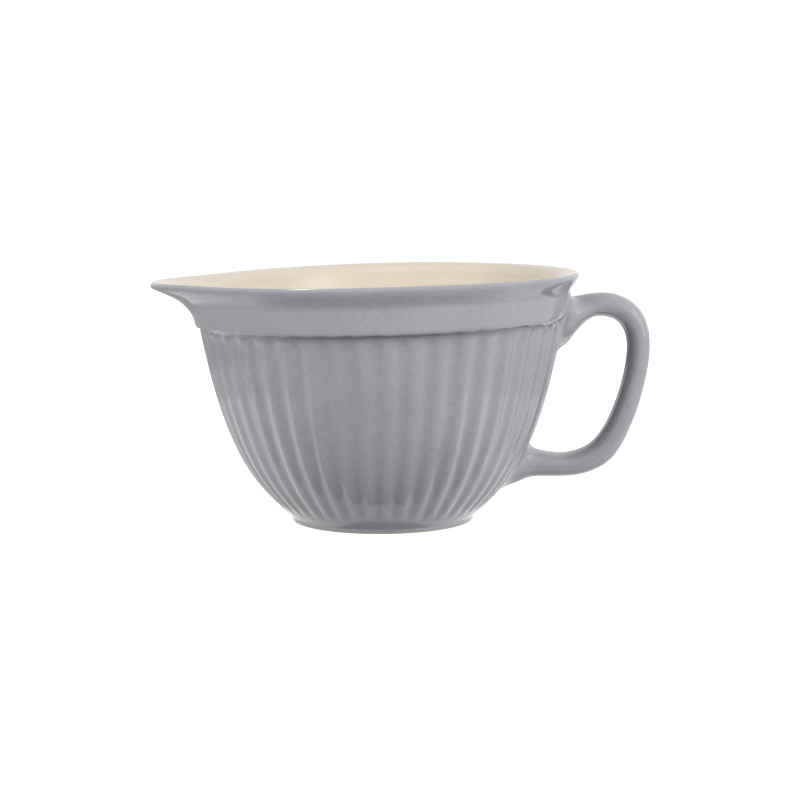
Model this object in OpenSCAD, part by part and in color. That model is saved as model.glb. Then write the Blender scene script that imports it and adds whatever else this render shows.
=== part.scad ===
// Batter bowl in glazed stoneware: a fluted wall under a plain collar, a drawn
// pouring spout and a loop handle. The origin is on the bowl's axis, in the plane
// it stands on. The spout points along -X and the handle along +X.

/* [Bowl] */
// Height of the rim above the standing surface
rim_h = 138.4; // [125:0.2:155]
// Outer diameter of the lip, from side to side
rim_d = 220; // [205:1:240]
// Thickness of the wall, both glaze coats included
wall_t = 5.4; // [4.4:0.1:7]
// Thickness of the floor
floor_t = 7; // [5:0.5:10]
// Thickness of the cream glaze inside
glaze_t = 0.8; // [0.5:0.1:1.2]

/* [Foot ring] */
// Diameter of the foot where it meets the wall
foot_d = 103.6; // [95:0.2:112]
// Height of the bare foot ring
foot_h = 2.6; // [2:0.1:4]
// Width of the ring of clay that the bowl stands on
foot_w = 6.4; // [5:0.1:9]

/* [Collar] */
// Height from the ledge to the top of the rim
collar_h = 25.8; // [22:0.1:32]
// How far the ledge stands proud of the flutes
ledge_step = 2.4; // [1.6:0.1:5]
// How far the collar leans out between its ledge and the lip
collar_draft = 1.3; // [0.4:0.1:3]
// Lean of the ledge towards the spout, in degrees
ledge_lean = 1.3; // [0:0.1:2]
// Lean of the rim towards the spout, in degrees
rim_lean = 0.5; // [0:0.1:1.5]

/* [Lip] */
// Thickness of the lip's rounded edge
lip_h = 3.4; // [2.6:0.1:6]
// How far the lip flares out past the collar
lip_out = 4.4; // [2.5:0.1:6]
// Height over which the collar flares into the lip
flare_h = 13; // [8:0.5:16]

/* [Spout] */
// How far the spout reaches past the round of the lip
spout_reach = 18.8; // [12:0.1:26]
// Radius of the spout's nose, seen from above
nose_r = 48; // [38:1:60]
// Depth below the rim at which the spout starts to swell
spout_depth = 23.8; // [20:0.1:25]
// Drop of the spout's tip below the rim
spout_drop = 2.7; // [0:0.1:5]

/* [Flutes] */
// Number of flutes round the wall
flute_count = 45; // [36:1:54]
// Depth of a flute at the top of the wall
flute_depth = 1.4; // [0.8:0.1:2]
// Angle of the first ridge from the handle, in degrees
flute_turn = 0; // [0:0.1:8]
// Plain height of wall between the foot ring and the flutes
flute_rise = 2.4; // [1:0.1:6]
// Length over which a flute runs out at its lower end
flute_run = 9; // [5:0.5:20]

/* [Handle] */
// How far the handle's bow stands out past the wall
handle_out = 45; // [38:0.5:55]
// Width of the grip, across the handle
grip_w = 20; // [16:0.5:26]
// Radius of the fillets beside the handle's upper root
upper_fillet = 15; // [8:0.5:18]
// Radius of the fillets beside the handle's lower root
lower_fillet = 6; // [3:0.5:10]

/* [Hidden] */

// Columns round the wall, the collar and the lower inside
flute_cols = 6;
wall_n = flute_count * flute_cols;
collar_n = flute_count * 2;
inside_n = flute_count;
wall_start = flute_turn % (360 / wall_n);

rim_r = rim_d / 2;
foot_r = foot_d / 2;
ledge_z = rim_h - collar_h;
lip_r = lip_h / 2;
lip_z = rim_h - lip_r;
neck_r = rim_r - lip_out;
neck_z = rim_h - lip_h;
crown_r = rim_r - lip_r;
ledge_r = neck_r - collar_draft;
wall_top_r = ledge_r - ledge_step;
ledge_round = ledge_step * 0.8;

// The wall's side view is one cubic curve from the foot to the ledge. Its two
// middle points are shares of the curve's width and height.
low_pull_shares = [0.407, 0.174];
high_pull_shares = [0.732, 0.301];
wall_w = wall_top_r - foot_r;
wall_h = ledge_z - foot_h;
p0 = [foot_r, foot_h];
p1 = p0 + [wall_w * low_pull_shares.x, wall_h * low_pull_shares.y];
p2 = p0 + [wall_w * high_pull_shares.x, wall_h * high_pull_shares.y];
p3 = [wall_top_r, ledge_z];

function crest(t) = pow(1 - t, 3) * p0 + 3 * pow(1 - t, 2) * t * p1
    + 3 * (1 - t) * pow(t, 2) * p2 + pow(t, 3) * p3;
function crest_way(t) = pow(1 - t, 2) * (p1 - p0) + 2 * (1 - t) * t * (p2 - p1)
    + pow(t, 2) * (p3 - p2);
function crest_normal(t) = let (d = crest_way(t)) [d.y, -d.x] / norm(d);
function clamp01(v) = max(0, min(1, v));
function smooth_step(v) = let (c = clamp01(v)) c * c * (3 - 2 * c);

// Radius of the collar at a height: a straight draft, then a flare out into the lip
function collar_r(z) = ledge_r + collar_draft * (z - ledge_z) / (lip_z - ledge_z)
    + lip_out * smooth_step((z - lip_z + flare_h) / flare_h);

// Seen from above, the lip is a circle with a smaller nose circle in front, and
// straight tangents between them. These give the swell past the round lip.
nose_x = rim_r + spout_reach - nose_r;
tangent_a = acos((rim_r - nose_r) / nose_x);
nose_a = atan2(nose_r * sin(tangent_a), nose_x + nose_r * cos(tangent_a));
function from_spout(a) = abs(((a % 360) + 360) % 360 - 180);
function outline_r(f) = f >= tangent_a ? rim_r
    : f >= nose_a ? rim_r / cos(tangent_a - f)
    : nose_x * cos(f) + sqrt(pow(nose_r, 2) - pow(nose_x * sin(f), 2));
function swell(a) = outline_r(from_spout(a)) - rim_r;

// The swell grows from nothing at the spout's root to its whole just under the lip
swell_power = 1.8;
spout_root_z = rim_h - spout_depth;
function swell_share(z, low, high) = pow(clamp01((z - low) / (high - low)), swell_power);
function outside_swell(a, z) = swell(a) * swell_share(z, spout_root_z, neck_z);
function inside_swell(a, z) = swell(a) * swell_share(z, spout_root_z + wall_t / 2, rim_h);

// The bowl leans a little towards its spout, and the spout's tip drops
drop_start_share = -0.2;
drop_power = 1.2;
tip_r = rim_r + spout_reach;
drop_x = tip_r * drop_start_share;
function slope(z) = z < ledge_z ? tan(ledge_lean) * pow(clamp01((z - foot_h) / wall_h), 2)
    : tan(ledge_lean) + (tan(rim_lean) - tan(ledge_lean)) * (z - ledge_z) / collar_h;
function droop(x, z) = spout_drop * clamp01((z - ledge_z) / collar_h)
    * pow(clamp01((-x - drop_x) / (tip_r - drop_x)), drop_power);
function placed(r, a, z) = let (x = r * cos(a), y = r * sin(a))
    [x, y, z + slope(z) * x - droop(x, z)];

// A flute is hollow over most of its width, and its ridge is rounded. u runs from
// 0 at the middle of a flute to 0.5 at the crest of a ridge.
hollow_share = 0.29;
function hollow(u) = u >= 0.5 ? 0
    : u < hollow_share ? 1 - u * u * 2 / hollow_share
    : 2 * pow(0.5 - u, 2) / (0.5 - hollow_share);
flute_low_z = foot_h + flute_rise;
function flute_pitch(r) = 2 * PI * r / flute_count;
// Distance from the flute's run of full width, past its arched top or its foot end
function past_end(r, z) = max(
    0.5 - (ledge_z - z) / flute_pitch(r),
    0.5 * (1 - (z - flute_low_z) / flute_run),
    0);
function flute_at(a, r, z) = let (
        turn = (a - flute_turn) * flute_count / 360,
        u = abs(turn - floor(turn) - 0.5),
        w = norm([u, past_end(r, z)]))
    flute_depth * r / wall_top_r * hollow(w);

// The flutes run out round the handle's two roots. A root is its middle height and
// half height, as shares of rim_h, and its half width, as a share of grip_w.
upper_root_shares = [0.808, 0.137, 1.35];
lower_root_shares = [0.216, 0.137, 0.9];
root_fade_share = 0.3;
function root_fade(p, root) = smooth_step((norm([
    p.y / (root.z * grip_w), (p.z - root.x * rim_h) / (root.y * rim_h)]) - 1) / root_fade_share);
function beside_roots(p) = p.x < 0 ? 1
    : root_fade(p, upper_root_shares) * root_fade(p, lower_root_shares);

// A ring is [count, points], and a shell is a list of rings joined in turn
function plain_ring(n, r, z) = [n, [for (i = [0 : n - 1]) placed(r, 360 * i / n, z)]];
function outer_ring(n, r, z) = [n, [for (i = [0 : n - 1]) let (a = 360 * i / n)
    placed(r + outside_swell(a, z), a, z)]];
function inner_ring(n, r, z) = [n, [for (i = [0 : n - 1]) let (a = 360 * i / n)
    placed(r + inside_swell(a, z), a, z)]];
function fluted_ring(t) = let (c = crest(t), s = crest_normal(t))
    [wall_n, [for (i = [0 : wall_n - 1]) let (a = wall_start + 360 * i / wall_n,
        d = flute_at(a, c.x, c.y) * beside_roots(placed(c.x, a, c.y)))
        placed(c.x - s.x * d, a, c.y - s.y * d)]];

// Row places along the wall, close together where the flutes end
wall_row_shares = [0.06, 0.12, 0.19, 0.3, 0.45, 0.62, 0.8, 0.94, 0.972, 0.988, 1];
collar_row_shares = [0.17, 0.34, 0.5, 0.64, 0.78, 0.9];
ledge_angles = [-90, -45, 0];
lip_angles = [0, 45, 90];
mouth_angles = [35, 65, 90];
mouth_row_shares = [0.5];
inside_row_shares = [1, 0.86, 0.72, 0.58, 0.44, 0.3, 0.2, 0.13];
floor_share = 0.8;

// The outside above the flutes, as radii and heights: rounded ledge, collar and lip
collar_low_z = ledge_z + ledge_round;
collar_profile = concat(
    [for (q = ledge_angles)
        [ledge_r - ledge_round * (1 - cos(q)), collar_low_z + ledge_round * sin(q)]],
    [for (k = collar_row_shares) let (z = collar_low_z + (lip_z - collar_low_z) * k)
        [collar_r(z), z]]);
lip_profile = [for (q = lip_angles) [crown_r + lip_r * cos(q), lip_z + lip_r * sin(q)]];

outside_rings = concat(
    [plain_ring(1, 0, foot_h), plain_ring(collar_n, foot_r, foot_h)],
    [for (t = wall_row_shares) fluted_ring(t)],
    [for (c = concat(collar_profile, lip_profile)) outer_ring(collar_n, c.x, c.y)]);

// The inside, from the crown of the lip to the middle of the floor. bed is how
// deep it lies under the face of the glaze.
mouth_w = crown_r - neck_r + wall_t;
mouth_h = lip_h + wall_t * 0.7;
mouth_z = rim_h - mouth_h;
floor_z = foot_h + floor_t;
function inside_point(t, bed) = let (c = crest(t) - crest_normal(t) * (wall_t - bed))
    [c.x, max(c.y, floor_z - bed)];
function inside_rings(bed) = let (
        top = inside_point(1, bed),
        brow = [crown_r - (mouth_w - bed), mouth_z])
    concat(
    [for (q = mouth_angles) inner_ring(collar_n,
        crown_r - (mouth_w - bed) * sin(q), mouth_z + (mouth_h - bed) * cos(q))],
    [for (k = mouth_row_shares) inner_ring(collar_n,
        brow.x + (top.x - brow.x) * k, brow.y + (top.y - brow.y) * k)],
    [for (t = inside_row_shares) let (c = inside_point(t, bed)) inner_ring(inside_n, c.x, c.y)],
    [plain_ring(inside_n, foot_r * floor_share, floor_z - bed), plain_ring(1, 0, floor_z - bed)]);

function reversed(v) = [for (i = [len(v) - 1 : -1 : 0]) v[i]];
function coarse(i, k, n) = floor((i + k / 2) / k) % n;
// Triangles between two rings that start at points sa and sb and have na and nb
function band(sa, na, sb, nb) = na >= nb
    ? [for (i = [0 : na - 1]) let (k = na / nb, j = (i + 1) % na,
            c = coarse(i, k, nb), d = coarse(i + 1, k, nb))
        each c == d ? [[sa + i, sb + c, sa + j]]
            : [[sa + i, sb + c, sa + j], [sb + c, sb + d, sa + j]]]
    : [for (i = [0 : nb - 1]) let (k = nb / na, j = (i + 1) % nb,
            c = coarse(i, k, na), d = coarse(i + 1, k, na))
        each c == d ? [[sa + c, sb + i, sb + j]]
            : [[sa + c, sb + i, sb + j], [sa + c, sb + j, sa + d]]];
function starts(rings, k = 0, at = 0) = k == len(rings) ? []
    : concat([at], starts(rings, k + 1, at + rings[k][0]));

module shell(rings) {
    first = starts(rings);
    polyhedron(
        points = [for (ring = rings) each ring[1]],
        faces = [for (k = [0 : len(rings) - 2])
            each band(first[k], rings[k][0], first[k + 1], rings[k + 1][0])]);
}

// The inner glaze ends against a step in the crown of the lip
crown_ring = outer_ring(collar_n, crown_r, rim_h);
step_ring = outer_ring(collar_n, crown_r, rim_h - glaze_t);

module bowl_body() {
    color("#9a9ba1")
    shell(concat(outside_rings, [step_ring], inside_rings(glaze_t)));
}

module inner_glaze() {
    color("#e9dccb")
    shell(concat(reversed(inside_rings(glaze_t)), [step_ring, crown_ring], inside_rings(0)));
}

module foot_ring() {
    ease = foot_w / 8;
    color("#b1ada6")
    rotate_extrude($fn = 96)
        polygon([
            [foot_r - foot_w - ease, foot_h],
            [foot_r - foot_w, ease],
            [foot_r - foot_w + ease, 0],
            [foot_r - ease * 1.1, 0],
            [foot_r - ease * 0.5, ease],
            [foot_r, foot_h]]);
}

// The outside of the bowl in the handle's own plane, which the handle's roots seat
// on, and a table of it by height
function seat_point(c) = [c.x, c.y + slope(c.y) * c.x];
seat_profile = [for (c = concat([p0], [for (t = wall_row_shares) crest(t)], collar_profile))
    seat_point(c)];
seat_table = [for (c = seat_profile) [c.y, c.x]];

// The same outside with its ledge smoothed away, and the distance of a point from it
soft_step = ledge_step * 1.5;
soft_reach = 2;
function soft_wall(z) = let (
        v = [for (k = [-soft_reach : soft_reach]) lookup(z + k * soft_step, seat_table)])
    v * [for (k = v) 1] / len(v);
function wall_gap(r, z) = (r - soft_wall(z))
    / norm([1, (soft_wall(z + soft_step) - soft_wall(z - soft_step)) / (2 * soft_step)]);

// The handle is a loft of ovals between an outer and an inner rail. A rail point
// is its distance past the wall, as a share of handle_out, and its height, as a
// share of rim_h. A width share is the oval's width as a share of grip_w.
outer_rail_shares = [
    [-0.09, 0.899], [0.143, 0.907], [0.327, 0.917], [0.565, 0.916], [0.824, 0.882], [1.033, 0.811],
    [1.15, 0.705], [1.19, 0.591], [1.199, 0.46], [1.193, 0.342], [1.14, 0.236], [0.89, 0.174],
    [0.525, 0.168], [0.283, 0.167], [0.15, 0.143], [-0.09, 0.095]];
inner_rail_shares = [
    [-0.09, 0.679], [0.086, 0.706], [0.222, 0.777], [0.386, 0.82], [0.637, 0.811], [0.79, 0.763],
    [0.87, 0.694], [0.904, 0.59], [0.897, 0.469], [0.864, 0.372], [0.771, 0.3], [0.547, 0.265],
    [0.331, 0.268], [0.159, 0.278], [0.059, 0.293], [-0.09, 0.335]];
width_shares = [1.3, 1.2, 1.1, 1.03, 1, 1, 1, 1, 1, 1, 1.02, 1.06, 1.1, 1.14, 1.2, 1.26];
rail_last = len(outer_rail_shares) - 1;
handle_sides = 20;
squareness = 2.2;

// Stations along the rails, close together at both roots
root_stations = [0, 0.25, 0.5, 0.75, 1, 1.5];
stations = concat(
    root_stations,
    [for (k = [4 : 2 * (rail_last - 2)]) k / 2],
    [for (k = [len(root_stations) - 1 : -1 : 0]) rail_last - root_stations[k]]);

// The rails are measured from the ridge line, carried straight on up to the lip
crest_table = concat(
    [for (k = [0 : 24]) let (c = crest(k / 24)) [c.y, c.x]],
    [[neck_z, neck_r]]);

// A smooth curve through a list of values, with u counting its points
function at_end(v, i) = v[max(0, min(len(v) - 1, i))];
function smooth_at(v, u) = let (i = min(floor(u), len(v) - 2), f = u - i,
        a = at_end(v, i - 1), b = v[i], c = v[i + 1], d = at_end(v, i + 2))
    (2 * b + (c - a) * f + (2 * a - 5 * b + 4 * c - d) * f * f
        + (3 * b - a - 3 * c + d) * f * f * f) / 2;
function rail_at(rail, u) = let (s = smooth_at(rail, u), z = s.y * rim_h)
    [lookup(z, crest_table) + s.x * handle_out, z];

// Near the wall a section swells out in a fillet: move is how far, where left is how
// much nearer to the wall the point lies than the fillet's radius
fillet_power = 1.5;
end_fillet = grip_w * 0.08;
function squared(v) = sign(v) * pow(abs(v), 2 / squareness);
function fillet_r(side, size) = end_fillet + (size - end_fillet) * pow(abs(side), fillet_power);
function handle_point(mid, half, w, size, q) = let (
        flat = mid + half * squared(cos(q)),
        y = w * squared(sin(q)),
        gap = norm([flat.x, y]) - soft_wall(flat.y),
        r = fillet_r(squared(sin(q)), size),
        left = max(0, min(r, r - wall_gap(norm([flat.x, y]), flat.y))),
        move = r - sqrt(pow(r, 2) - pow(left, 2)),
        way = [cos(q) / norm(half), sin(q) / w],
        step = way / norm(way) * move,
        out = flat + half / norm(half) * step.x,
        wide = y + step.y)
    [left > 0 ? sqrt(pow(soft_wall(out.y) + gap, 2) - pow(wide, 2)) : out.x, wide, out.y];
function handle_ring(u) = let (
        o = rail_at(outer_rail_shares, u),
        i = rail_at(inner_rail_shares, u),
        size = u < rail_last / 2 ? upper_fillet : lower_fillet)
    [handle_sides, [for (k = [0 : handle_sides - 1]) handle_point(
        (o + i) / 2, (o - i) / 2, smooth_at(width_shares, u) * grip_w / 2, size,
        360 * k / handle_sides)]];
function handle_end(u) = let (o = rail_at(outer_rail_shares, u), i = rail_at(inner_rail_shares, u))
    [1, [[(o.x + i.x) / 2, 0, (o.y + i.y) / 2]]];

module seat() {
    rotate_extrude($fn = wall_n)
        polygon(concat([[0, foot_h]], seat_profile, [[0, neck_z]]));
}

module handle() {
    color("#9a9ba1")
    difference() {
        shell(concat(
            [handle_end(0)],
            [for (u = stations) handle_ring(u)],
            [handle_end(rail_last)]));
        seat();
    }
}

bowl_body();
handle();
foot_ring();
inner_glaze();
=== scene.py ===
# Batter bowl in glazed stoneware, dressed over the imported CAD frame.
# The origin is on the bowl's axis in the plane it stands on; the spout points
# along -X and the handle along +X. Sizes are in millimetres until a mesh is made.
import math
import bpy
import numpy as np
from mathutils import Matrix, Vector


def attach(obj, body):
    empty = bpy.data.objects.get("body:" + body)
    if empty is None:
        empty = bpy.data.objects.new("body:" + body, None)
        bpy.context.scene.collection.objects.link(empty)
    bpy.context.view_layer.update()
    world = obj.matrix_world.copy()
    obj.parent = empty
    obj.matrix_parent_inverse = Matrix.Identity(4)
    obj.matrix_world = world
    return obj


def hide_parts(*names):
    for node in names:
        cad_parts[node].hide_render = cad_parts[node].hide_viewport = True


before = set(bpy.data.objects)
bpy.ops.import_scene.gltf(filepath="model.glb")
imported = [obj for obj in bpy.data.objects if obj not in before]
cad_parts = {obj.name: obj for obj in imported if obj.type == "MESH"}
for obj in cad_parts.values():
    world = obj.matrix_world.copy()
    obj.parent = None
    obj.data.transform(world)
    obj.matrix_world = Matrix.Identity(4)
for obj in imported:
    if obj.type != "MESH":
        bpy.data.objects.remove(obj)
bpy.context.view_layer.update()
mm = 0.001
print("frame loaded:", ", ".join(sorted(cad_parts)))

# Camera: a long lens a little above the rim, looking square at the side
camera = {
    "distance": 1128.2,    # from the bowl's axis, along -Y
    "height": 209.4,       # above the plane that the bowl stands on
    "down": 7.196,         # degrees below the horizon
    "right": 0.511,        # degrees to the right of the axis
    "roll": -0.296,        # degrees, the left side a little lower
    "lens": 90.768,        # for a sensor 36 mm wide
}


def makeCamera(c):
    made = bpy.data.cameras.new("studioCamera")
    made.lens = c["lens"]
    made.sensor_width = 36
    holder = bpy.data.objects.new("studioCamera", made)
    bpy.context.collection.objects.link(holder)
    aim = Matrix.Rotation(math.radians(-c["right"]), 4, "Z") \
        @ Matrix.Rotation(math.radians(90 - c["down"]), 4, "X") \
        @ Matrix.Rotation(math.radians(c["roll"]), 4, "Z")
    holder.matrix_world = Matrix.Translation((0, -c["distance"] * mm, c["height"] * mm)) @ aim
    bpy.context.scene.camera = holder


makeCamera(camera)
print("camera placed")

# The bowl's own sizes. They are the CAD source's, apart from a lower flare, and flutes that are
# deeper at the top and get shallower faster downwards
bowl = {
    "rimHeight": 138.4, "rimWidth": 220.0, "wall": 5.4, "floor": 7.0, "glaze": 0.8,
    "footWidth": 103.6, "footHeight": 2.6,
    "collarHeight": 25.8, "ledgeStep": 2.4, "ledgeRound": 1.92, "collarDraft": 1.3,
    "ledgeLean": 1.3, "rimLean": 0.5,              # degrees, towards the spout
    "lipRound": 1.7, "lipOut": 4.4, "flareHeight": 10.4,
    "spoutReach": 18.8, "noseRadius": 48.0, "spoutDepth": 23.8, "spoutDrop": 2.7,
    "swellPower": 1.8, "swellTop": 3.4, "dropStart": -0.2, "dropPower": 1.2,
    "flutes": 45, "fluteDepth": 1.8, "depthPower": 1.5, "fluteTurn": 0.0, "fluteRise": 2.4,
    "fluteRun": 9.0, "hollowShare": 0.29,
    "lowPull": (0.407, 0.174), "highPull": (0.732, 0.301),   # shares of the wall's width and height
}

rimR = bowl["rimWidth"] / 2
footR = bowl["footWidth"] / 2
footZ = bowl["footHeight"]
ledgeZ = bowl["rimHeight"] - bowl["collarHeight"]
lipZ = bowl["rimHeight"] - bowl["lipRound"]
crownR = rimR - bowl["lipRound"]
swellZ = bowl["rimHeight"] - bowl["swellTop"]
spoutRootZ = bowl["rimHeight"] - bowl["spoutDepth"]
floorZ = footZ + bowl["floor"]
ledgeR = rimR - bowl["lipOut"] - bowl["collarDraft"]
neckR = ledgeR + bowl["collarDraft"]
wallTopR = ledgeR - bowl["ledgeStep"]
wallSpan = np.array([wallTopR - footR, ledgeZ - footZ])
wallFoot = np.array([footR, footZ])
wallPulls = [wallFoot, wallFoot + wallSpan * bowl["lowPull"],
             wallFoot + wallSpan * bowl["highPull"], wallFoot + wallSpan]


def crest(t):
    # Cubic curve through four pulls: the ridge line's radius and height, and its outward normal
    t = np.asarray(t)[..., None]
    a, b, c, d = wallPulls
    point = (1 - t) ** 3 * a + 3 * (1 - t) ** 2 * t * b + 3 * (1 - t) * t ** 2 * c + t ** 3 * d
    way = (1 - t) ** 2 * (b - a) + 2 * (1 - t) * t * (c - b) + t ** 2 * (d - c)
    normal = np.stack([way[..., 1], -way[..., 0]], -1) / np.linalg.norm(way, axis=-1, keepdims=True)
    return point, normal


def smoothStep(v):
    # 3v^2 - 2v^3 between 0 and 1
    v = np.clip(v, 0, 1)
    return v * v * (3 - 2 * v)


noseX = rimR + bowl["spoutReach"] - bowl["noseRadius"]
tangentTurn = math.acos((rimR - bowl["noseRadius"]) / noseX)
noseTurn = math.atan2(bowl["noseRadius"] * math.sin(tangentTurn),
                      noseX + bowl["noseRadius"] * math.cos(tangentTurn))


def swell(angle):
    # Past the round lip: a straight tangent rimR / cos(tangent - f), then the nose's circle.
    # The tangent's turn is kept off a right angle, where its cosine is 0
    f = np.abs(np.mod(angle, 2 * math.pi) - math.pi)
    flat = rimR / np.cos(np.clip(tangentTurn - f, -1, 1.4))
    half = np.maximum(bowl["noseRadius"] ** 2 - (noseX * np.sin(f)) ** 2, 0)
    nose = noseX * np.cos(f) + np.sqrt(half)
    return np.where(f >= tangentTurn, rimR, np.where(f >= noseTurn, flat, nose)) - rimR


def swellShare(z, low, high):
    # Grows from 0 at low to 1 at high with a power of the height
    return np.clip((z - low) / (high - low), 0, 1) ** bowl["swellPower"]


tipR = rimR + bowl["spoutReach"]
dropX = tipR * bowl["dropStart"]


def slope(z):
    # Lean of a level towards the spout: grows with the square of the height up to the ledge
    low, high = (math.tan(math.radians(bowl[k])) for k in ("ledgeLean", "rimLean"))
    wallPart = low * np.clip((z - footZ) / wallSpan[1], 0, 1) ** 2
    collarPart = low + (high - low) * (z - ledgeZ) / bowl["collarHeight"]
    return np.where(z < ledgeZ, wallPart, collarPart)


def placed(r, angle, z):
    # A point at radius, angle and level, with the bowl's lean and the drop of the spout's tip
    x, y = r * np.cos(angle), r * np.sin(angle)
    drop = bowl["spoutDrop"] * np.clip((z - ledgeZ) / bowl["collarHeight"], 0, 1) \
        * np.clip((-x - dropX) / (tipR - dropX), 0, 1) ** bowl["dropPower"]
    return np.stack([x, y, z + slope(z) * x - drop], -1)


def hollow(u):
    # 1 in the middle of a flute, 0 on a ridge: a wide hollow parabola and a narrow crest parabola
    h = bowl["hollowShare"]
    ridge = 2 * (0.5 - u) ** 2 / (0.5 - h)
    return np.where(u >= 0.5, 0, np.where(u < h, 1 - u * u * 2 / h, ridge))


def flutePitch(r):
    return 2 * math.pi * r / bowl["flutes"]


def flutePlace(angle, r, z):
    # Distance from the flute's middle run, in flute widths: across it, and past its arched top
    # or its foot end
    turn = (angle - math.radians(bowl["fluteTurn"])) * bowl["flutes"] / (2 * math.pi)
    across = np.abs(turn - np.floor(turn) - 0.5)
    top = 0.5 - (ledgeZ - z) / flutePitch(r)
    low = 0.5 * (1 - (z - footZ - bowl["fluteRise"]) / bowl["fluteRun"])
    return np.hypot(across, np.maximum(np.maximum(top, low), 0))


# Where the handle's roots are luted on: middle height, half height and half width of each
roots = {
    "upper": {"middle": 112.0, "halfHeight": 19.0, "halfWidth": 27.0},
    "lower": {"middle": 30.0, "halfHeight": 19.0, "halfWidth": 18.0},
    "fade": 0.3,           # share of the root's size over which the flutes run out
}


def rootFade(r, angle, z):
    # 0 under a handle root and 1 away from it, by the distance from the root's ellipse
    x, y = r * np.cos(angle), r * np.sin(angle)
    keep = np.ones(np.broadcast(x, z).shape)
    for name in ("upper", "lower"):
        k = roots[name]
        away = np.hypot(y / k["halfWidth"], (z + slope(z) * x - k["middle"]) / k["halfHeight"])
        keep = keep * np.where(x > 0, smoothStep((away - 1) / roots["fade"]), 1)
    return keep


def ringFaces(rows, cols):
    # Quads from each ring to the next, wrapped round
    i, j = np.meshgrid(np.arange(rows - 1), np.arange(cols), indexing="ij")
    k = (j + 1) % cols
    quads = np.stack([i * cols + j, i * cols + k, (i + 1) * cols + k, (i + 1) * cols + j], -1)
    return quads.reshape(-1, 4)


def fanFaces(pole, first, cols, ahead):
    # Triangles from a pole to a ring that starts at first
    j = np.arange(cols)
    a, b = first + j, first + (j + 1) % cols
    return np.stack([np.full(cols, pole), b, a] if ahead else [np.full(cols, pole), a, b], -1)


def makePiece(name, rings, lowPole, highPole, marks=None):
    # A closed surface from a grid of rings (rows, columns, 3) in millimetres and two poles
    rows, cols = rings.shape[:2]
    points = np.concatenate([rings.reshape(-1, 3), [lowPole, highPole]]) * mm
    faces = ringFaces(rows, cols).tolist()
    faces += fanFaces(rows * cols, 0, cols, True).tolist()
    faces += fanFaces(rows * cols + 1, (rows - 1) * cols, cols, False).tolist()
    mesh = bpy.data.meshes.new(name)
    mesh.from_pydata(points.tolist(), [], faces)
    mesh.polygons.foreach_set("use_smooth", np.ones(len(faces), bool))
    for mark, values in (marks or {}).items():
        layer = mesh.attributes.new(mark, "FLOAT", "POINT")
        layer.data.foreach_set("value", np.append(values.reshape(-1), [0, 0]).astype(np.float32))
    mesh.update()
    made = bpy.data.objects.new(name, mesh)
    bpy.context.collection.objects.link(made)
    return made


# How finely each surface is cut
detail = {
    "columnsPerFlute": 10, "wallRows": 118, "ledgeRows": 8, "collarRows": 34, "lipRows": 12,
    "insideColumns": 270, "mouthRows": 14, "browRows": 9, "insideWallRows": 56, "floorRows": 10,
    "hiddenStep": 5,       # of the body's inside, under the glaze, one row in so many is kept
    "wholeRows": 26,       # but all of the last ones, where the floor turns into the wall
    "handleSides": 64, "stationsPerPoint": 10, "rootStations": 40,
}

# The inside: where its quarter round starts and how much of the wall's thickness is in the round's
# height, the straight brow under it, how far down the wall's curve goes, and its soft corner and
# floor
inside = {
    "mouthStart": 0.08, "mouthShare": 0.7, "brow": (0.1, 0.9), "wallEnd": 0.13,
    "corner": 3.0, "floor": (0.94, 0.1),
}


def insideProfile(bed):
    # From the lip's crown over a quarter round, down the inside of the wall and across the floor.
    # The floor meets the wall in a soft corner: floor + (h + sqrt(h^2 + k^2)) / 2
    k = inside
    mouthW = crownR - neckR + bowl["wall"]
    mouthH = bowl["swellTop"] + bowl["wall"] * k["mouthShare"]
    mouthZ = bowl["rimHeight"] - mouthH
    q = np.linspace(k["mouthStart"], 1, detail["mouthRows"]) * math.pi / 2
    mouth = np.stack([crownR - (mouthW - bed) * np.sin(q), mouthZ + (mouthH - bed) * np.cos(q)], -1)
    point, normal = crest(np.linspace(1, k["wallEnd"], detail["insideWallRows"]))
    wall = point - normal * (bowl["wall"] - bed)
    brow = mouth[-1] + (wall[0] - mouth[-1]) * np.linspace(*k["brow"], detail["browRows"])[:, None]
    level = floorZ - bed
    rise = wall[:, 1] - level
    wall[:, 1] = level + (rise + np.sqrt(rise ** 2 + k["corner"] ** 2)) / 2
    last, count = wall[-1], detail["floorRows"]
    floorR = last[0] * np.linspace(*k["floor"], count)
    floor = np.stack([floorR, np.linspace(last[1], level, count)], -1)
    return np.concatenate([mouth, brow, wall, floor])


def insideRings(bed, angle, every=1):
    # Every so many rows of the profile, and all of the last ones
    rows, whole = insideProfile(bed), detail["wholeRows"]
    rows = np.concatenate([rows[:-whole:every], rows[-whole:]])
    r, z = rows[:, 0][:, None], rows[:, 1][:, None]
    share = swellShare(z, spoutRootZ + bowl["wall"] / 2, bowl["rimHeight"])
    return placed(r + swell(angle)[None] * share, angle[None], z + 0 * angle[None])


def collarProfile():
    # Rounded ledge, plain collar with a little draft, a lip flared by a smooth step, and its round
    edge = np.linspace(-0.5, 0, detail["ledgeRows"]) * math.pi
    k = bowl["ledgeRound"]
    ledge = np.stack([ledgeR - k + k * np.cos(edge), ledgeZ + k + k * np.sin(edge)], -1)
    z = np.linspace(ledgeZ + k, lipZ, detail["collarRows"])[1:]
    climb = (z - ledgeZ) / (lipZ - ledgeZ)
    out = smoothStep((z - lipZ + bowl["flareHeight"]) / bowl["flareHeight"])
    collar = np.stack([ledgeR + bowl["collarDraft"] * climb + bowl["lipOut"] * out, z], -1)
    turn = np.linspace(0, 0.5, detail["lipRows"])[1:] * math.pi
    k = bowl["lipRound"]
    lip = np.stack([crownR + k * np.cos(turn), lipZ + k * np.sin(turn)], -1)
    return np.concatenate([ledge, collar, lip])


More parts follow.
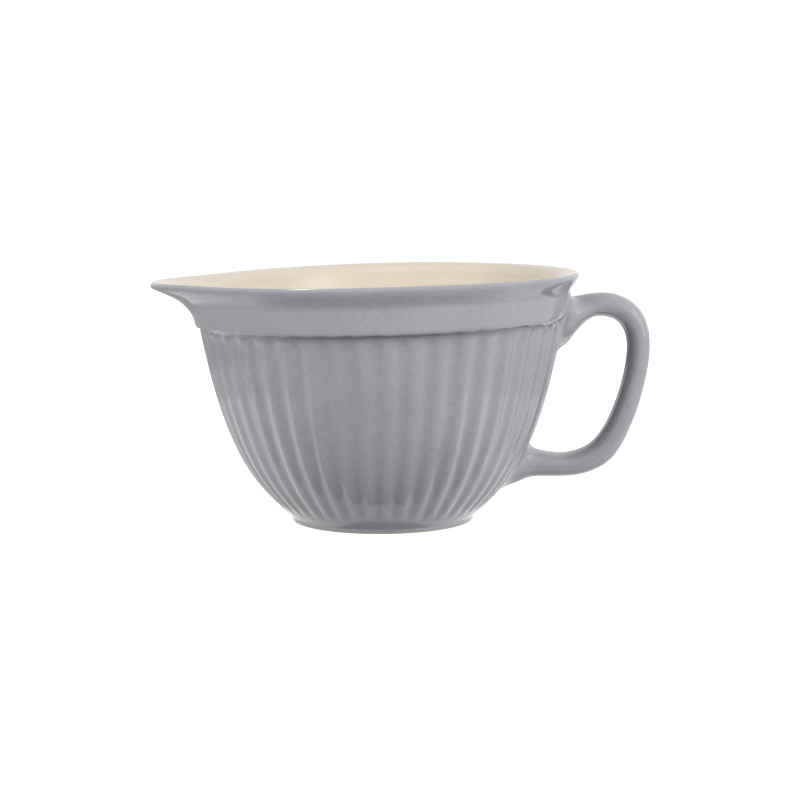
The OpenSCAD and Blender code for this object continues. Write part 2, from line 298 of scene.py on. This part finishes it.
# Where the glaze lies deep and where shade is painted, as shares of its darkest tone: low in the
# flutes, where it pools and painted shade darkens the wall towards the bottom; in the corner under
# the ledge, where it pools under a painted shadow (heights in millimetres); and on the ledge's
# edge, as painted shade. "worn" is how bare each row of the ledge is, from its edge up
poolingAndShade = {
    "flutes": 0.4, "fluteTop": 70.0, "corner": 2.6, "cornerShare": 0.75, "edge": 0.3,
    "worn": (0.5, 1, 1, 0.7, 0.4, 0.15),
}
# The ledge's edge isn't dead straight under its glaze: millimetres up and down, how far up that
# fades, and the waves' counts round the bowl with their starts
ledgeWander = {
    "slow": 0.16, "quick": 0.1, "fluted": 0.16, "fade": 5.0,
    "slowWaves": ((7, 1), (16, 2.3), (31, 0)), "quickWaves": ((53, 0.5), (83, 1.7)),
}
# The flat underside's rings, as shares of the foot's radius, and where the wall's first ring
# stands on its curve, just clear of them
underShares = np.append(np.linspace(0.12, 0.95, 5), [0.995, 1])
wallStart = 0.002


def waves(angle, kinds):
    # The mean of a few sines round the bowl
    return sum(np.sin(count * angle + start) for count, start in kinds) / len(kinds)


def ledgeShift(angle, z):
    # The waves and a dip at each ridge, fading out above the ledge
    k = ledgeWander
    dips = np.cos(bowl["flutes"] * (angle - math.radians(bowl["fluteTurn"])))
    shift = k["slow"] * waves(angle, k["slowWaves"]) + k["quick"] * waves(angle, k["quickWaves"]) \
        - k["fluted"] * dips
    return shift * smoothStep(1 - (z - ledgeZ) / k["fade"])


def makeBody():
    cols = bowl["flutes"] * detail["columnsPerFlute"]
    angle = math.radians(bowl["fluteTurn"]) + np.arange(cols) * 2 * math.pi / cols
    turned = angle[None]
    # Underside of the floor
    under = underShares[:, None] * footR
    underRings = placed(under + 0 * angle, turned, footZ + 0 * under + 0 * angle)
    # Fluted wall: the ridge line moved inwards along its normal
    point, normal = crest(np.append(wallStart, np.linspace(0, 1, detail["wallRows"])[1:]))
    r, z = point[:, 0][:, None], point[:, 1][:, None]
    deep = hollow(flutePlace(turned, r, z)) * rootFade(r, turned, z)
    depth = bowl["fluteDepth"] * (r / wallTopR) ** bowl["depthPower"] * deep
    wallRings = placed(r - normal[:, 0][:, None] * depth, turned, z - normal[:, 1][:, None] * depth)
    # Glaze pools low in the flutes and in the corner under the ledge, painted darker there as shade
    # too
    low = poolingAndShade["flutes"] * deep * smoothStep((poolingAndShade["fluteTop"] - z) / poolingAndShade["fluteTop"])
    corner = poolingAndShade["cornerShare"] * np.exp(-((ledgeZ - z) / poolingAndShade["corner"]) ** 2) + 0 * deep
    # Ledge, collar and lip, swelling out into the spout
    rows = collarProfile()
    r, z = rows[:, 0][:, None], rows[:, 1][:, None]
    collarRings = placed(r + swell(angle)[None] * swellShare(z, spoutRootZ, swellZ), turned,
                         z + ledgeShift(turned, z))
    step = placed(crownR + swell(angle)[None], turned,
                  bowl["rimHeight"] - bowl["glaze"] + 0 * turned)
    inner = insideRings(bowl["glaze"], angle, detail["hiddenStep"])
    parts = [underRings, wallRings, collarRings, step, inner]
    poolAndShade = [np.zeros(part.shape[:2]) for part in parts]
    worn = [np.zeros(part.shape[:2]) for part in parts]
    poolAndShade[1] = np.maximum(low, corner)
    # Painted shade on the ledge's edge row, where it faces down
    poolAndShade[2][0] = poolingAndShade["edge"]
    # The glaze breaks brown along the ledge's edge
    worn[2][:len(poolingAndShade["worn"])] = np.array(poolingAndShade["worn"])[:, None]
    return makePiece("stonewareBody", np.concatenate(parts), (0, 0, footZ), (0, 0, inner[-1, 0, 2]),
                     {"poolAndShade": np.concatenate(poolAndShade), "worn": np.concatenate(worn)})


def makeInnerGlaze():
    cols = detail["insideColumns"]
    angle = math.radians(bowl["fluteTurn"]) + np.arange(cols) * 2 * math.pi / cols
    bed = insideRings(bowl["glaze"], angle)
    face = insideRings(0, angle)
    turned = angle[None]
    top = [placed(crownR + swell(angle)[None], turned, z + 0 * turned)
           for z in (bowl["rimHeight"] - bowl["glaze"], bowl["rimHeight"])]
    rings = np.concatenate([bed[::-1], *top, face])
    return makePiece("innerGlazeCoat", rings, (0, 0, bed[-1, 0, 2]), (0, 0, face[-1, 0, 2]))


body = makeBody()
innerGlaze = makeInnerGlaze()
print("bowl made:", len(body.data.polygons), "faces outside,",
      len(innerGlaze.data.polygons), "inside")

# The ring's own sizes. The glazed rows are how far out from the foot's radius and how far below
# its top
footRing = {
    "width": 6.4, "ease": 0.5, "baseRadius": 51.1, "columns": 240, "easeRows": 6,
    "glazed": ((0.03, 0), (0.02, 0.05), (-0.15, 0.91)),
    "bareEdge": 0.35,      # how far in from the foot's radius the glaze ends
    "backStep": 0.5, "backDrop": 0.05,             # top of the inner face, inwards and downwards
    "glazeLine": 1.0, "wander": 0.12,
    "waves": ((5, 1, 1.0), (11, 0, 0.6), (23, 2, 0.4)),      # count round the ring, start, share
}


def makeFootRing(k):
    # A ring turned from its section; the glaze was wiped off below a line that wanders a little
    cols, ease = k["columns"], k["ease"]
    angle = np.arange(cols) * 2 * math.pi / cols
    line = k["glazeLine"] + k["wander"] / 2 * sum(
        share * np.sin(count * angle + start) for count, start, share in k["waves"])
    baseR, backR = k["baseRadius"] - ease, footR - k["width"] + ease
    quarter = np.linspace(0, 0.5, k["easeRows"]) * math.pi
    section = [(footR + out, footZ - down) for out, down in k["glazed"]]
    section += [(footR - k["bareEdge"], line)]
    section += [(baseR + ease * math.cos(q), ease - ease * math.sin(q)) for q in quarter]
    section += [(backR - ease * math.sin(q), ease - ease * math.cos(q)) for q in quarter]
    section += [(backR - ease - k["backStep"], footZ - k["backDrop"])]
    rings = np.stack([np.stack([r * np.cos(angle), r * np.sin(angle), z + 0 * angle], -1)
                      for r, z in section[::-1]])
    last = (len(section) - 1) * cols
    j = np.arange(cols)
    ahead = (j + 1) % cols
    close = np.stack([last + j, last + ahead, ahead, j], -1)
    faces = np.concatenate([ringFaces(len(section), cols), close])
    mesh = bpy.data.meshes.new("standingRing")
    mesh.from_pydata((rings.reshape(-1, 3) * mm).tolist(), [], faces.tolist())
    mesh.polygons.foreach_set("use_smooth", np.ones(len(faces), bool))
    made = bpy.data.objects.new("standingRing", mesh)
    bpy.context.collection.objects.link(made)
    # 1 on the faces above the line, which keep their glaze
    marks = np.zeros(len(faces), np.int32)
    marks[last - len(k["glazed"]) * cols:last] = 1
    return made, marks


standingRing, footMarks = makeFootRing(footRing)
print("foot ring made")

# Handle: ovals between an outer and an inner rail. A rail point is its distance past the wall,
# as a share of the bow, and its height, as a share of the rim's height
handle = {
    "bow": 45.0, "grip": 20.0, "squareness": 2.2,
    "outerRail": [
        [-0.09, 0.899], [0.143, 0.907], [0.327, 0.917], [0.565, 0.916], [0.824, 0.882],
        [1.033, 0.811], [1.15, 0.705], [1.19, 0.591], [1.199, 0.46], [1.193, 0.342],
        [1.145, 0.229], [0.89, 0.174], [0.525, 0.168], [0.283, 0.167], [0.15, 0.143],
        [-0.09, 0.095]],
    "innerRail": [
        [-0.09, 0.718], [0.07, 0.702], [0.222, 0.78], [0.386, 0.823], [0.637, 0.811],
        [0.79, 0.763], [0.87, 0.694], [0.904, 0.59], [0.897, 0.469], [0.864, 0.372],
        [0.773, 0.296], [0.547, 0.265], [0.331, 0.268], [0.159, 0.278], [0.059, 0.293],
        [-0.09, 0.335]],
    "widths": [1.3, 1.2, 1.1, 1.03, 1, 1, 1, 1, 1, 1, 1.02, 1.06, 1.1, 1.14, 1.2, 1.26],
    "upperFillet": 15.0, "lowerFillet": 6.0, "filletEnd": 1.6, "filletPower": 1.5,
    "sunk": 2.6,           # how deep its ends go into the wall, out of sight
    "rootSpan": 1.5, "crowding": 1.5,              # rail points at each root with closer stations
    "easeReach": 7,        # stations each way in the rails' moving mean
}

# How the wall is sampled and smoothed where the handle sits on it
wallTable = {"curveRows": 160, "rows": 600, "spread": 12.0, "reach": 30, "railPoints": 24}


def profileTable():
    # The bowl's outside in the handle's own plane, as heights and radii that rise together: the
    # ridge line, then from half way round the ledge to just under the lip
    point = crest(np.linspace(0, 1, wallTable["curveRows"]))[0]
    first, end = detail["ledgeRows"] // 2, detail["ledgeRows"] + detail["collarRows"] - 2
    rows = np.concatenate([point, collarProfile()[first:end]])
    z = rows[:, 1] + slope(rows[:, 1]) * rows[:, 0]
    keep = np.concatenate([[True], np.diff(np.maximum.accumulate(z)) > 1e-6])
    return z[keep], rows[keep, 0]


tableZ, tableR = profileTable()
evenZ = np.linspace(tableZ[0], tableZ[-1], wallTable["rows"])
evenR = np.interp(evenZ, tableZ, tableR)
softReach = wallTable["reach"]
softKernel = np.exp(-0.5 * (np.arange(-softReach, softReach + 1) / wallTable["spread"]) ** 2)
softR = np.convolve(np.pad(evenR, softReach, "edge"), softKernel / softKernel.sum(), "valid")
wallLean = np.gradient(softR, evenZ)


def smoothRail(shares, u):
    # Catmull-Rom curve through the rail's points
    v = np.array(shares, float).reshape(len(shares), -1)
    i = np.clip(np.floor(u).astype(int), 0, len(v) - 2)
    f = (u - i)[:, None]
    a, b, c, d = (v[np.clip(i + k, 0, len(v) - 1)] for k in (-1, 0, 1, 2))
    square, cube = 2 * a - 5 * b + 4 * c - d, 3 * b - a - 3 * c + d
    return (2 * b + (c - a) * f + square * f ** 2 + cube * f ** 3) / 2


def eased(rail, reach):
    # Takes out the small jumps of bend between rail points with a short moving mean
    kernel = np.hanning(2 * reach + 1)
    kernel = kernel / kernel.sum()
    pad = np.pad(rail, ((reach, reach), (0, 0)), mode="reflect", reflect_type="odd")
    return np.stack([np.convolve(side, kernel, "valid") for side in pad.T], -1)


def wallAt(z):
    # Radius from the ridge line and on up to the neck, as the rails measure it
    count = wallTable["railPoints"]
    point = crest(np.arange(count + 1) / count)[0]
    return np.interp(z, np.append(point[:, 1], swellZ), np.append(point[:, 0], neckR))


def makeHandle(k):
    last = len(k["outerRail"]) - 1
    # Stations crowd towards both walls, where the fillets turn fastest
    span = k["rootSpan"]
    mid = np.arange(span, last - span, 1 / detail["stationsPerPoint"])
    near = span * np.linspace(0, 1, detail["rootStations"], endpoint=False) ** k["crowding"]
    u = np.concatenate([near, mid, (last - near)[::-1]])
    rails = []
    for name in ("outerRail", "innerRail"):
        s = smoothRail(k[name], u)
        z = s[:, 1] * bowl["rimHeight"]
        rails.append(np.stack([wallAt(z) + s[:, 0] * k["bow"], z], -1))
    outer, inner = (eased(rail, k["easeReach"]) for rail in rails)
    half = smoothRail(k["widths"], u)[:, 0] * k["grip"] / 2
    centre, reach = (outer + inner) / 2, (outer - inner) / 2
    q = np.arange(detail["handleSides"]) * 2 * math.pi / detail["handleSides"]
    c, s = np.cos(q), np.sin(q)
    power = 2 / k["squareness"]
    c, s = np.sign(c) * np.abs(c) ** power, np.sign(s) * np.abs(s) ** power
    x = centre[:, :1] + reach[:, :1] * c
    z = centre[:, 1:] + reach[:, 1:] * c
    y = half[:, None] * s + 0 * x
    # Fillets: a point nearer to the wall than the fillet's radius moves outwards from the section
    # by radius - sqrt(radius^2 - (radius - gap)^2), and keeps its gap to the wall
    past = np.hypot(x, y) - np.interp(z, evenZ, softR)
    gap = past / np.hypot(1, np.interp(z, evenZ, wallLean))
    sideways = np.abs(s)[None] ** k["filletPower"]
    size = np.where(np.arange(len(u)) < len(u) / 2, k["upperFillet"], k["lowerFillet"])[:, None]
    radius = k["filletEnd"] + (size - k["filletEnd"]) * sideways
    left = np.clip(radius - gap, 0, radius)
    move = radius - np.sqrt(np.maximum(radius ** 2 - left ** 2, 0))
    length = np.linalg.norm(reach, axis=1)[:, None]
    nx, ny = np.cos(q) / length, np.sin(q) / half[:, None]
    steep = np.hypot(nx, ny)
    y1 = y + move * ny / steep
    z1 = z + move * nx / steep * reach[:, 1:] / length
    x1 = x + move * nx / steep * reach[:, :1] / length
    flat = np.maximum(past, -k["sunk"])
    seated = np.sqrt(np.maximum((np.interp(z1, evenZ, softR) + flat) ** 2 - y1 ** 2, 0))
    share = np.clip(left / radius, 0, 1)
    x1 = np.where(share > 0, seated, x1)
    rings = np.stack([x1, y1, z1], -1)
    ends = [rings[0].mean(axis=0), rings[-1].mean(axis=0)]
    marks = {"poolAndShade": np.zeros(rings.shape[:2]), "worn": np.zeros(rings.shape[:2])}
    return makePiece("loopHandle", rings[::-1], ends[1], ends[0], marks)


loopHandle = makeHandle(handle)
print("handle made:", len(loopHandle.data.polygons), "faces")


def colour(code):
    # sRGB hex to the linear values that a shader takes
    parts = [int(code[i:i + 2], 16) / 255 for i in (1, 3, 5)]
    linear = [p / 12.92 if p <= 0.04045 else ((p + 0.055) / 1.055) ** 2.4 for p in parts]
    return (*linear, 1.0)


def addNode(tree, kind, links=None, values=None, **settings):
    # Adds one node with its settings and input values, and links its inputs to other outputs
    made = tree.nodes.new(kind)
    for name, value in settings.items():
        setattr(made, name, value)
    for name, value in (values or {}).items():
        made.inputs[name].default_value = value
    for name, source in (links or {}).items():
        tree.links.new(source, made.inputs[name])
    return made


def startMaterial(name):
    made = bpy.data.materials.new(name)
    made.use_nodes = True
    made.node_tree.nodes.clear()
    return made, made.node_tree


# Stoneware glazes: noise scales are one over a real size, since Object coordinates are in metres
glaze = {
    "grey": "#9c9da3", "greyPoolShade": "#5f6066", "wornEdge": "#a0947f", "greyRoughness": 0.02,
    "index": 1.6,
    "creamDeep": "#cfc3b0", "creamPale": "#d9cfbf", "creamRoughness": 0.2,
    "clayDark": "#a99c8b", "clayPale": "#c9bcab", "clayRoughness": 0.85, "clayIndex": 1.5,
    # Millimetres across, and the ripple's and the grain's heights
    "cloud": 34.0, "mottle": 2.6, "fleck": 0.9, "wear": 5.0, "ripple": 7.0, "rippleHeight": 0.008,
    "clayGrain": 0.5, "grainHeight": 0.08,
    # Cloud, fleck and mottle added up, the shade that they give, and the noise that a patch is
    # cut from
    "unevenness": (1.1, 1.9), "shade": (0.92, 1.08), "patch": (0.35, 0.65), "patchLeast": 0.25,
    "cloudSpan": (0.3, 0.7), "roughnessSpread": 0.01,
}


def makeGreyGlaze(k):
    # Gloss stoneware glaze, poured on a cast body: an even grey with faint clouds and flecks,
    # darker where it pools and where shade is painted low on the wall and under the ledge, with
    # sharp reflections
    made, tree = startMaterial("greyStonewareGlaze")
    place = addNode(tree, "ShaderNodeTexCoord").outputs["Object"]
    cloud = addNode(tree, "ShaderNodeTexNoise", {"Vector": place},
                    {"Scale": 1 / (k["cloud"] * mm), "Detail": 3.0, "Roughness": 0.55})
    fleck = addNode(tree, "ShaderNodeTexNoise", {"Vector": place},
                    {"Scale": 1 / (k["fleck"] * mm), "Detail": 2.0, "Roughness": 0.6})
    # Darker tone where the glaze pools, with painted shade low on the wall and under the ledge
    poolAndShade = addNode(tree, "ShaderNodeAttribute", attribute_name="poolAndShade").outputs["Fac"]
    body = addNode(tree, "ShaderNodeMix", {"Factor": poolAndShade}, data_type="RGBA")
    body.inputs["A"].default_value = colour(k["grey"])
    body.inputs["B"].default_value = colour(k["greyPoolShade"])
    # Brown break where the glaze drew back from the ledge's edge, in patches
    worn = addNode(tree, "ShaderNodeAttribute", attribute_name="worn").outputs["Fac"]
    patch = addNode(tree, "ShaderNodeTexNoise", {"Vector": place},
                    {"Scale": 1 / (k["wear"] * mm), "Detail": 2.0, "Roughness": 0.6})
    patch = addNode(tree, "ShaderNodeMapRange", {"Value": patch.outputs["Fac"]},
                    {"From Min": k["patch"][0], "From Max": k["patch"][1],
                     "To Min": k["patchLeast"], "To Max": 1.0})
    patch = addNode(tree, "ShaderNodeMath", {0: patch.outputs[0], 1: worn}, operation="MULTIPLY")
    body = addNode(tree, "ShaderNodeMix",
                   {"Factor": patch.outputs[0], "A": body.outputs["Result"]}, data_type="RGBA")
    body.inputs["B"].default_value = colour(k["wornEdge"])
    mottle = addNode(tree, "ShaderNodeTexNoise", {"Vector": place},
                     {"Scale": 1 / (k["mottle"] * mm), "Detail": 2.0, "Roughness": 0.5})
    shade = addNode(tree, "ShaderNodeMath", {0: cloud.outputs["Fac"], 1: fleck.outputs["Fac"]},
                    operation="ADD")
    shade = addNode(tree, "ShaderNodeMath", {0: shade.outputs[0], 1: mottle.outputs["Fac"]},
                    operation="ADD")
    shade = addNode(tree, "ShaderNodeMapRange", {"Value": shade.outputs[0]},
                    {"From Min": k["unevenness"][0], "From Max": k["unevenness"][1],
                     "To Min": k["shade"][0], "To Max": k["shade"][1]})
    tone = addNode(tree, "ShaderNodeVectorMath",
                   {0: body.outputs["Result"], "Scale": shade.outputs[0]}, operation="SCALE")
    ripple = addNode(tree, "ShaderNodeTexNoise", {"Vector": place},
                     {"Scale": 1 / (k["ripple"] * mm), "Detail": 2.0, "Roughness": 0.5})
    bump = addNode(tree, "ShaderNodeBump", {"Height": ripple.outputs["Fac"]},
                   {"Strength": 1.0, "Distance": k["rippleHeight"] * mm})
    rough = addNode(tree, "ShaderNodeMapRange", {"Value": cloud.outputs["Fac"]},
                    {"From Min": k["cloudSpan"][0], "From Max": k["cloudSpan"][1],
                     "To Min": k["greyRoughness"] - k["roughnessSpread"],
                     "To Max": k["greyRoughness"] + k["roughnessSpread"]})
    shader = addNode(tree, "ShaderNodeBsdfPrincipled",
                     {"Base Color": tone.outputs[0], "Roughness": rough.outputs[0],
                      "Normal": bump.outputs["Normal"]}, {"IOR": k["index"]})
    addNode(tree, "ShaderNodeOutputMaterial", {"Surface": shader.outputs[0]})
    return made


def makeCreamGlaze(k):
    # Cream glaze, poured inside: warm, slightly uneven in depth, with a soft gloss
    made, tree = startMaterial("creamStonewareGlaze")
    place = addNode(tree, "ShaderNodeTexCoord").outputs["Object"]
    cloud = addNode(tree, "ShaderNodeTexNoise", {"Vector": place},
                    {"Scale": 1 / (k["cloud"] * mm), "Detail": 4.0, "Roughness": 0.6})
    tone = addNode(tree, "ShaderNodeMix", {"Factor": cloud.outputs["Fac"]}, data_type="RGBA")
    tone.inputs["A"].default_value = colour(k["creamDeep"])
    tone.inputs["B"].default_value = colour(k["creamPale"])
    ripple = addNode(tree, "ShaderNodeTexNoise", {"Vector": place},
                     {"Scale": 1 / (k["ripple"] * mm), "Detail": 2.0, "Roughness": 0.5})
    bump = addNode(tree, "ShaderNodeBump", {"Height": ripple.outputs["Fac"]},
                   {"Strength": 1.0, "Distance": k["rippleHeight"] * mm})
    shader = addNode(tree, "ShaderNodeBsdfPrincipled",
                     {"Base Color": tone.outputs["Result"], "Normal": bump.outputs["Normal"]},
                     {"IOR": k["index"], "Roughness": k["creamRoughness"]})
    addNode(tree, "ShaderNodeOutputMaterial", {"Surface": shader.outputs[0]})
    return made


def makeBareClay(k):
    # Fired stoneware clay with its glaze wiped off: dull, grainy and buff
    made, tree = startMaterial("bareStonewareClay")
    place = addNode(tree, "ShaderNodeTexCoord").outputs["Object"]
    grain = addNode(tree, "ShaderNodeTexNoise", {"Vector": place},
                    {"Scale": 1 / (k["clayGrain"] * mm), "Detail": 5.0, "Roughness": 0.7})
    tone = addNode(tree, "ShaderNodeMix", {"Factor": grain.outputs["Fac"]}, data_type="RGBA")
    tone.inputs["A"].default_value = colour(k["clayDark"])
    tone.inputs["B"].default_value = colour(k["clayPale"])
    bump = addNode(tree, "ShaderNodeBump", {"Height": grain.outputs["Fac"]},
                   {"Strength": 1.0, "Distance": k["grainHeight"] * mm})
    shader = addNode(tree, "ShaderNodeBsdfPrincipled",
                     {"Base Color": tone.outputs["Result"], "Normal": bump.outputs["Normal"]},
                     {"IOR": k["clayIndex"], "Roughness": k["clayRoughness"]})
    addNode(tree, "ShaderNodeOutputMaterial", {"Surface": shader.outputs[0]})
    return made


greyGlaze = makeGreyGlaze(glaze)
creamGlaze = makeCreamGlaze(glaze)
bareClay = makeBareClay(glaze)
body.data.materials.append(greyGlaze)
loopHandle.data.materials.append(greyGlaze)
innerGlaze.data.materials.append(creamGlaze)
standingRing.data.materials.append(bareClay)
standingRing.data.materials.append(greyGlaze)
standingRing.data.polygons.foreach_set("material_index", footMarks)
print("materials made")

for piece, cadNode, finish in (
        (body, "bowl_body", "grey_glaze"), (loopHandle, "handle", "grey_glaze"),
        (standingRing, "foot_ring", "bare_stoneware"), (innerGlaze, "inner_glaze", "cream_glaze")):
    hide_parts(cadNode)
    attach(piece, "root")

studio = {
    "aim": (0, 0, 0.09), "floorSize": 12.0, "floorTone": "#a8a8a8", "world": 0.08,
    # How much the floor glows to the camera, near to the bowl and far from it, and where it changes
    "nearGlow": 0.86, "farGlow": 1.0, "glowSpan": (0.1, 0.5),
    # Painted reflection: a glow that only gloss sees on the floor under the bowl, by x and y in
    # metres, shaped as a white sheet over a left and a right mat, on a table whose level changes
    # from left to right
    "paintedSheet": {"middle": (0, 0.0668), "half": (0.245, 0.1333), "soft": 0.001, "glow": 1.05},
    "paintedLeftMat": {"middle": (-0.235, 0.035), "half": (0.095, 0.165), "soft": 0.012, "glow": 0.6},
    "paintedRightMat": {"middle": (0.235, 0.035), "half": (0.095, 0.165), "soft": 0.012, "glow": 0.6},
    "paintedTableLeft": 0.17, "paintedTableRight": 0.46, "paintedTableHalf": 0.3,
    # Painted shadow of the bowl at the front of its foot, in the glow that gloss sees: its centre
    # along Y, its radius, and what gloss keeps in it
    "shade": {"centre": -0.0251, "radius": 0.0319, "soft": 0.0015, "keep": 0.25},
    # name: place, width and height in metres, watts, what it lights, and the only pieces that it
    # reaches, or None for all
    "lamps": {
        "leftBox": ((-1.3, -0.7, 0.75), 1.2, 1.2, 20, "diffuse", None),
        "frontBox": ((1.0, -1.2, 0.8), 1.3, 1.1, 20.4, "diffuse", None),
        "rightBox": ((1.35, -0.5, 0.8), 1.2, 1.1, 9.6, "diffuse", None),
        "backBox": ((0.7, 1.3, 0.75), 1.5, 1.0, 12, "diffuse", None),
        "overStrip": ((-0.62, 0.25, 1.35), 0.55, 0.3, 1.6, "diffuse", None),
        "paleCard": ((1.0, -1.1, 0.6), 0.5, 0.4, 1.0, "gloss", None),
        "lipStrip": ((-0.45, 0.3, 1.2), 0.5, 0.1, 4.0, "gloss", (body, loopHandle)),
        "gripCard": ((1.25, -0.45, 0.5), 0.7, 0.9, 2.9, "gloss", (loopHandle,)),
    },
}


def makeFloor(k):
    # Pale floor that shows white to the camera and keeps the bowl's shadow, while gloss sees a
    # painted reflection glowing on it: the table with its sheet and mats, and a painted shadow
    half = k["floorSize"] / 2
    mesh = bpy.data.meshes.new("studioFloor")
    corners = [(-half, -half, 0), (half, -half, 0), (half, half, 0), (-half, half, 0)]
    mesh.from_pydata(corners, [], [(0, 1, 2, 3)])
    floor = bpy.data.objects.new("studioFloor", mesh)
    bpy.context.collection.objects.link(floor)
    made, tree = startMaterial("paleFloor")
    rays = addNode(tree, "ShaderNodeLightPath").outputs
    gloss = addNode(tree, "ShaderNodeMath",
                    {0: rays["Is Glossy Ray"], 1: rays["Is Transmission Ray"]}, operation="MAXIMUM")
    place = addNode(tree, "ShaderNodeTexCoord").outputs["Object"]
    part = addNode(tree, "ShaderNodeSeparateXYZ", {"Vector": place}).outputs
    # Painted reflection glow for gloss: the table's level across X, then each mat and the sheet
    tone = addNode(tree, "ShaderNodeMapRange", {"Value": part["X"]},
                   {"From Min": -k["paintedTableHalf"], "From Max": k["paintedTableHalf"],
                    "To Min": k["paintedTableLeft"], "To Max": k["paintedTableRight"]})
    for name in ("paintedLeftMat", "paintedRightMat", "paintedSheet"):
        # 1 on the painted patch and 0 past its edges, by the distance from its middle line each way
        paintedPatch, share = k[name], None
        for axis, middle, half in zip("XY", paintedPatch["middle"], paintedPatch["half"]):
            away = addNode(tree, "ShaderNodeMath", {0: part[axis]}, {1: middle},
                           operation="SUBTRACT")
            away = addNode(tree, "ShaderNodeMath", {0: away.outputs[0]}, operation="ABSOLUTE")
            onIt = addNode(tree, "ShaderNodeMapRange", {"Value": away.outputs[0]},
                           {"From Min": half - paintedPatch["soft"], "From Max": half + paintedPatch["soft"],
                            "To Min": 1.0, "To Max": 0.0},
                           interpolation_type="SMOOTHSTEP").outputs[0]
            share = onIt if share is None else addNode(
                tree, "ShaderNodeMath", {0: share, 1: onIt}, operation="MULTIPLY").outputs[0]
        tone = addNode(tree, "ShaderNodeMapRange", {"Value": share, "To Min": tone.outputs[0]},
                       {"To Max": paintedPatch["glow"]})
    # Painted shadow in the gloss glow, at the front of the foot
    dim = k["shade"]
    near = addNode(tree, "ShaderNodeVectorMath", {0: place}, {1: (0, dim["centre"], 0)},
                   operation="DISTANCE")
    shade = addNode(tree, "ShaderNodeMapRange", {"Value": near.outputs["Value"]},
                    {"From Min": dim["radius"] - dim["soft"],
                     "From Max": dim["radius"] + dim["soft"],
                     "To Min": dim["keep"], "To Max": 1.0}, interpolation_type="SMOOTHSTEP")
    tone = addNode(tree, "ShaderNodeMath", {0: tone.outputs[0], 1: shade.outputs[0]},
                   operation="MULTIPLY")
    far = addNode(tree, "ShaderNodeVectorMath", {0: place}, operation="LENGTH")
    glow = addNode(tree, "ShaderNodeMapRange", {"Value": far.outputs["Value"]},
                   {"From Min": k["glowSpan"][0], "From Max": k["glowSpan"][1],
                    "To Min": k["nearGlow"], "To Max": k["farGlow"]},
                   interpolation_type="SMOOTHSTEP")
    glow = addNode(tree, "ShaderNodeMath", {0: rays["Is Camera Ray"], 1: glow.outputs[0]},
                   operation="MULTIPLY")
    # Gloss rays see the painted reflection and shadow; camera rays see the plain glow
    glow = addNode(tree, "ShaderNodeMath",
                   {0: gloss.outputs[0], 1: tone.outputs[0], 2: glow.outputs[0]},
                   operation="MULTIPLY_ADD")
    plain = addNode(tree, "ShaderNodeBsdfDiffuse", {}, {"Color": colour(k["floorTone"])})
    light = addNode(tree, "ShaderNodeEmission", {"Strength": glow.outputs[0]})
    both = addNode(tree, "ShaderNodeAddShader")
    tree.links.new(plain.outputs[0], both.inputs[0])
    tree.links.new(light.outputs[0], both.inputs[1])
    addNode(tree, "ShaderNodeOutputMaterial", {"Surface": both.outputs[0]})
    floor.data.materials.append(made)


def makeWorld(k):
    # Even grey light from all round, white where the camera, gloss or glass looks at it
    world = bpy.data.worlds.new("studioWorld")
    world.use_nodes = True
    tree = world.node_tree
    tree.nodes.clear()
    rays = addNode(tree, "ShaderNodeLightPath").outputs
    seen = addNode(tree, "ShaderNodeMath",
                   {0: rays["Is Camera Ray"], 1: rays["Is Glossy Ray"]}, operation="MAXIMUM")
    seen = addNode(tree, "ShaderNodeMath",
                   {0: seen.outputs[0], 1: rays["Is Transmission Ray"]}, operation="MAXIMUM")
    level = addNode(tree, "ShaderNodeMapRange", {"Value": seen.outputs[0]},
                    {"To Min": k["world"], "To Max": 1.0})
    back = addNode(tree, "ShaderNodeBackground", {"Strength": level.outputs[0]},
                   {"Color": (1, 1, 1, 1)})
    addNode(tree, "ShaderNodeOutputWorld", {"Surface": back.outputs[0]})
    bpy.context.scene.world = world


def makeLamps(k):
    for name, (place, width, height, watts, part, reach) in k["lamps"].items():
        lamp = bpy.data.lights.new(name, "AREA")
        lamp.shape = "RECTANGLE"
        lamp.size, lamp.size_y, lamp.energy = width, height, watts
        holder = bpy.data.objects.new(name, lamp)
        holder.location = place
        way = Vector(k["aim"]) - Vector(place)
        holder.rotation_euler = way.to_track_quat("-Z", "Y").to_euler()
        holder.visible_diffuse, holder.visible_glossy = part == "diffuse", part == "gloss"
        bpy.context.collection.objects.link(holder)
        if reach:
            only = bpy.data.collections.new(name + "Reach")
            for piece in reach:
                only.objects.link(piece)
            holder.light_linking.receiver_collection = only


makeFloor(studio)
makeWorld(studio)
makeLamps(studio)
bpy.context.scene.view_settings.view_transform = "Standard"
print("studio lit")
